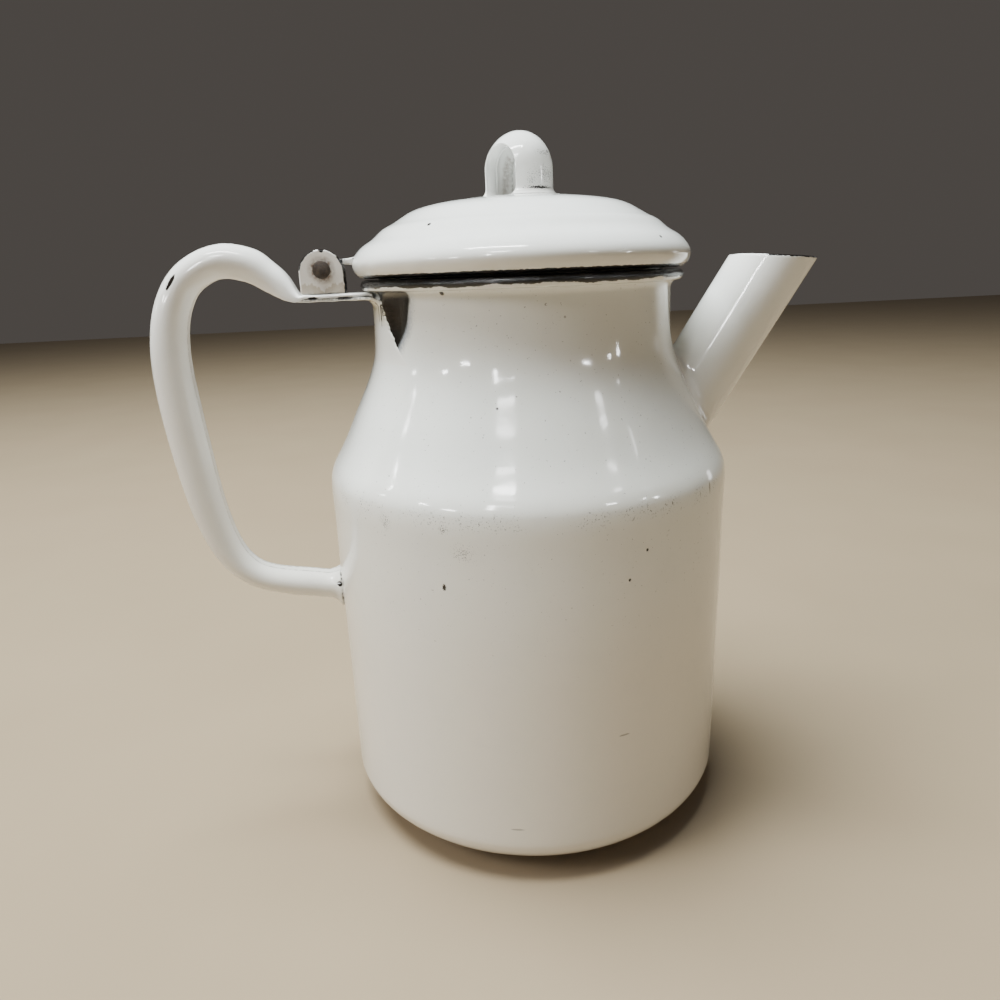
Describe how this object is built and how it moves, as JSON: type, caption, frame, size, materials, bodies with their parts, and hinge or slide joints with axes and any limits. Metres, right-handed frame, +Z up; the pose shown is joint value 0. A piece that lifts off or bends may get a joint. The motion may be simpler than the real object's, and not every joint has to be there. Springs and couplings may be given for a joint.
{
  "type": "enamel coffee pot",
  "caption": "Enamelled steel coffee pot: drawn cup, sloped shoulder and neck, slanted tube spout, hollow loop handle and a stepped domed lid hinged on a rivet at the handle.",
  "frame": {"origin": "centre of the flat base, on the surface the pot stands on, on the axis of the round body", "axes": "+Z up along the body's axis; -X from the axis to the handle and the lid's hinge, +X to the front; the lid's hinge pin lies along Y; the spout is set 8 degrees from +X towards -Y"},
  "size_m": [0.2232, 0.14, 0.2345],
  "materials": {
    "body_enamel": "glossy",
    "handle_enamel": "glossy",
    "lid_enamel": "glossy",
    "rivet_steel": "rusty"
  },
  "bodies": {
    "pot": {"body_cup": "body_enamel", "body_shoulder": "body_enamel", "spout": "body_enamel", "handle_shell": "handle_enamel", "handle_strip": "handle_enamel", "neck_bracket": "handle_enamel", "hinge_bracket": "handle_enamel", "hinge_rivet": "rivet_steel"},
    "lid": {"lid_dome": "lid_enamel", "lid_collar": "lid_enamel", "lid_hinge_leaf": "lid_enamel", "lid_loop": "lid_enamel"}
  },
  "joints": [
    {"name": "lid_hinge", "type": "hinge", "parent": "pot", "child": "lid", "pos_m": [-0.0657, 0, 0.19385], "axis": [0, -1, 0], "range_deg": [0, 127]}
  ]
}
